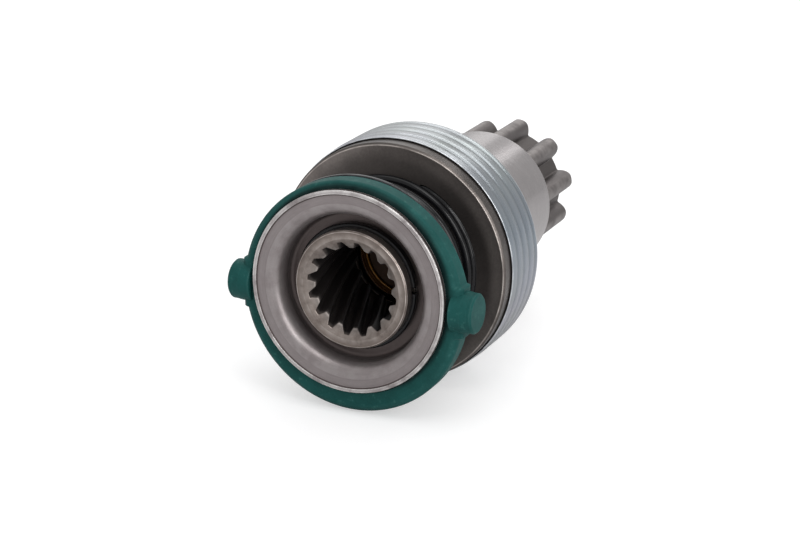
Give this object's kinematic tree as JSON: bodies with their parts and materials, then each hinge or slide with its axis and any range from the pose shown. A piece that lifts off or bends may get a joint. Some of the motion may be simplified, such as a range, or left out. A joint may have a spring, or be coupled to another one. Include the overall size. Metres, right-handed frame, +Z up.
{
  "type": "starter drive with sprag clutch",
  "caption": "Starter-motor drive: splined sleeve with a sliding fork guide ring and meshing spring, a sprag one-way clutch in a shell, and a toothed pinion on a long neck.",
  "frame": {"origin": "centre of the spline bore's mouth, on the front face of the sleeve", "axes": "+Y along the axis of turning from the splined sleeve to the pinion's nose, +Z up, trunnion pins along +X and -X"},
  "size_m": [0.0638, 0.1045, 0.0622],
  "materials": {
    "phosphated_steel": "dark satin steel, machined and lightly oiled",
    "black_steel": "gloss black oxide",
    "pressed_steel": "satin grey pressed sheet",
    "green_nylon": "satin moulded nylon",
    "zinc_plate": "blue zinc plate",
    "ground_steel": "ground neck with satin teeth",
    "race_steel": "hardened and polished",
    "bronze": "sintered bronze",
    "seal_rubber": "matt rubber"
  },
  "bodies": {
    "driver": {"driver": "phosphated_steel", "snap_ring": "black_steel", "clutch_shell": "zinc_plate", "meshing_spring": "black_steel", "outer_race": "race_steel", "outer_cage": "race_steel", "garter_spring_front": "race_steel", "garter_spring_rear": "race_steel", "thrust_washer": "race_steel", "half_washer_upper": "race_steel", "half_washer_lower": "race_steel", "rear_seal": "seal_rubber"},
    "pinion": {"pinion": "ground_steel", "inner_race": "race_steel", "front_bush": "bronze", "rear_bush": "bronze"},
    "guide_cup": {"guide_cup": "pressed_steel", "spring_seat": "black_steel"},
    "guide_ring": {"guide_ring": "green_nylon"},
    "inner_cage": {"inner_cage": "race_steel"},
    "sprag_01": {"sprag_01": "race_steel"},
    "sprag_02": {"sprag_02": "race_steel"},
    "sprag_03": {"sprag_03": "race_steel"},
    "sprag_04": {"sprag_04": "race_steel"},
    "sprag_05": {"sprag_05": "race_steel"},
    "sprag_06": {"sprag_06": "race_steel"},
    "sprag_07": {"sprag_07": "race_steel"},
    "sprag_08": {"sprag_08": "race_steel"},
    "sprag_09": {"sprag_09": "race_steel"},
    "sprag_10": {"sprag_10": "race_steel"},
    "sprag_11": {"sprag_11": "race_steel"},
    "sprag_12": {"sprag_12": "race_steel"},
    "sprag_13": {"sprag_13": "race_steel"},
    "sprag_14": {"sprag_14": "race_steel"}
  },
  "joints": [
    {"name": "pinion_spin", "type": "hinge", "parent": "driver", "child": "pinion", "pos_m": [0, 0.0336, 0], "axis": [0, 1, 0], "continuous": true},
    {"name": "guide_slide", "type": "slide", "parent": "driver", "child": "guide_cup", "axis": [0, 1, 0], "range_m": [0, 0.007], "stiffness_N_per_m": 3000, "springref_m": -0.004, "deforming": ["meshing_spring"]},
    {"name": "guide_ring_turn", "type": "hinge", "parent": "guide_cup", "child": "guide_ring", "pos_m": [0, 0.0021, 0], "axis": [0, 1, 0], "continuous": true},
    {"name": "sprag_01_rock", "type": "hinge", "parent": "driver", "child": "sprag_01", "pos_m": [0, 0.03377, 0.01965], "axis": [0, 1, 0], "range_deg": [-3, 0], "stiffness_Nm_per_rad": 0.001, "springref_deg": 11.46},
    {"name": "sprag_02_rock", "type": "hinge", "parent": "driver", "child": "sprag_02", "pos_m": [0.00853, 0.03377, 0.0177], "axis": [0, 1, 0], "range_deg": [-3, 0], "stiffness_Nm_per_rad": 0.001, "springref_deg": 11.46},
    {"name": "sprag_03_rock", "type": "hinge", "parent": "driver", "child": "sprag_03", "pos_m": [0.01536, 0.03377, 0.01225], "axis": [0, 1, 0], "range_deg": [-3, 0], "stiffness_Nm_per_rad": 0.001, "springref_deg": 11.46},
    {"name": "sprag_04_rock", "type": "hinge", "parent": "driver", "child": "sprag_04", "pos_m": [0.01916, 0.03377, 0.00437], "axis": [0, 1, 0], "range_deg": [-3, 0], "stiffness_Nm_per_rad": 0.001, "springref_deg": 11.46},
    {"name": "sprag_05_rock", "type": "hinge", "parent": "driver", "child": "sprag_05", "pos_m": [0.01916, 0.03377, -0.00437], "axis": [0, 1, 0], "range_deg": [-3, 0], "stiffness_Nm_per_rad": 0.001, "springref_deg": 11.46},
    {"name": "sprag_06_rock", "type": "hinge", "parent": "driver", "child": "sprag_06", "pos_m": [0.01536, 0.03377, -0.01225], "axis": [0, 1, 0], "range_deg": [-3, 0], "stiffness_Nm_per_rad": 0.001, "springref_deg": 11.46},
    {"name": "sprag_07_rock", "type": "hinge", "parent": "driver", "child": "sprag_07", "pos_m": [0.00853, 0.03377, -0.0177], "axis": [0, 1, 0], "range_deg": [-3, 0], "stiffness_Nm_per_rad": 0.001, "springref_deg": 11.46},
    {"name": "sprag_08_rock", "type": "hinge", "parent": "driver", "child": "sprag_08", "pos_m": [0, 0.03377, -0.01965], "axis": [0, 1, 0], "range_deg": [-3, 0], "stiffness_Nm_per_rad": 0.001, "springref_deg": 11.46},
    {"name": "sprag_09_rock", "type": "hinge", "parent": "driver", "child": "sprag_09", "pos_m": [-0.00853, 0.03377, -0.0177], "axis": [0, 1, 0], "range_deg": [-3, 0], "stiffness_Nm_per_rad": 0.001, "springref_deg": 11.46},
    {"name": "sprag_10_rock", "type": "hinge", "parent": "driver", "child": "sprag_10", "pos_m": [-0.01536, 0.03377, -0.01225], "axis": [0, 1, 0], "range_deg": [-3, 0], "stiffness_Nm_per_rad": 0.001, "springref_deg": 11.46},
    {"name": "sprag_11_rock", "type": "hinge", "parent": "driver", "child": "sprag_11", "pos_m": [-0.01916, 0.03377, -0.00437], "axis": [0, 1, 0], "range_deg": [-3, 0], "stiffness_Nm_per_rad": 0.001, "springref_deg": 11.46},
    {"name": "sprag_12_rock", "type": "hinge", "parent": "driver", "child": "sprag_12", "pos_m": [-0.01916, 0.03377, 0.00437], "axis": [0, 1, 0], "range_deg": [-3, 0], "stiffness_Nm_per_rad": 0.001, "springref_deg": 11.46},
    {"name": "sprag_13_rock", "type": "hinge", "parent": "driver", "child": "sprag_13", "pos_m": [-0.01536, 0.03377, 0.01225], "axis": [0, 1, 0], "range_deg": [-3, 0], "stiffness_Nm_per_rad": 0.001, "springref_deg": 11.46},
    {"name": "sprag_14_rock", "type": "hinge", "parent": "driver", "child": "sprag_14", "pos_m": [-0.00853, 0.03377, 0.0177], "axis": [0, 1, 0], "range_deg": [-3, 0], "stiffness_Nm_per_rad": 0.001, "springref_deg": 11.46},
    {"name": "inner_cage_shift", "type": "hinge", "parent": "driver", "child": "inner_cage", "pos_m": [0, 0.03377, 0], "axis": [0, 1, 0], "range_deg": [0, 0.7]}
  ],
  "couplings": [
    {"joint": "sprag_02_rock", "follows": "sprag_01_rock", "ratio": 1},
    {"joint": "sprag_03_rock", "follows": "sprag_01_rock", "ratio": 1},
    {"joint": "sprag_04_rock", "follows": "sprag_01_rock", "ratio": 1},
    {"joint": "sprag_05_rock", "follows": "sprag_01_rock", "ratio": 1},
    {"joint": "sprag_06_rock", "follows": "sprag_01_rock", "ratio": 1},
    {"joint": "sprag_07_rock", "follows": "sprag_01_rock", "ratio": 1},
    {"joint": "sprag_08_rock", "follows": "sprag_01_rock", "ratio": 1},
    {"joint": "sprag_09_rock", "follows": "sprag_01_rock", "ratio": 1},
    {"joint": "sprag_10_rock", "follows": "sprag_01_rock", "ratio": 1},
    {"joint": "sprag_11_rock", "follows": "sprag_01_rock", "ratio": 1},
    {"joint": "sprag_12_rock", "follows": "sprag_01_rock", "ratio": 1},
    {"joint": "sprag_13_rock", "follows": "sprag_01_rock", "ratio": 1},
    {"joint": "sprag_14_rock", "follows": "sprag_01_rock", "ratio": 1},
    {"joint": "inner_cage_shift", "follows": "sprag_01_rock", "ratio": -0.209}
  ]
}
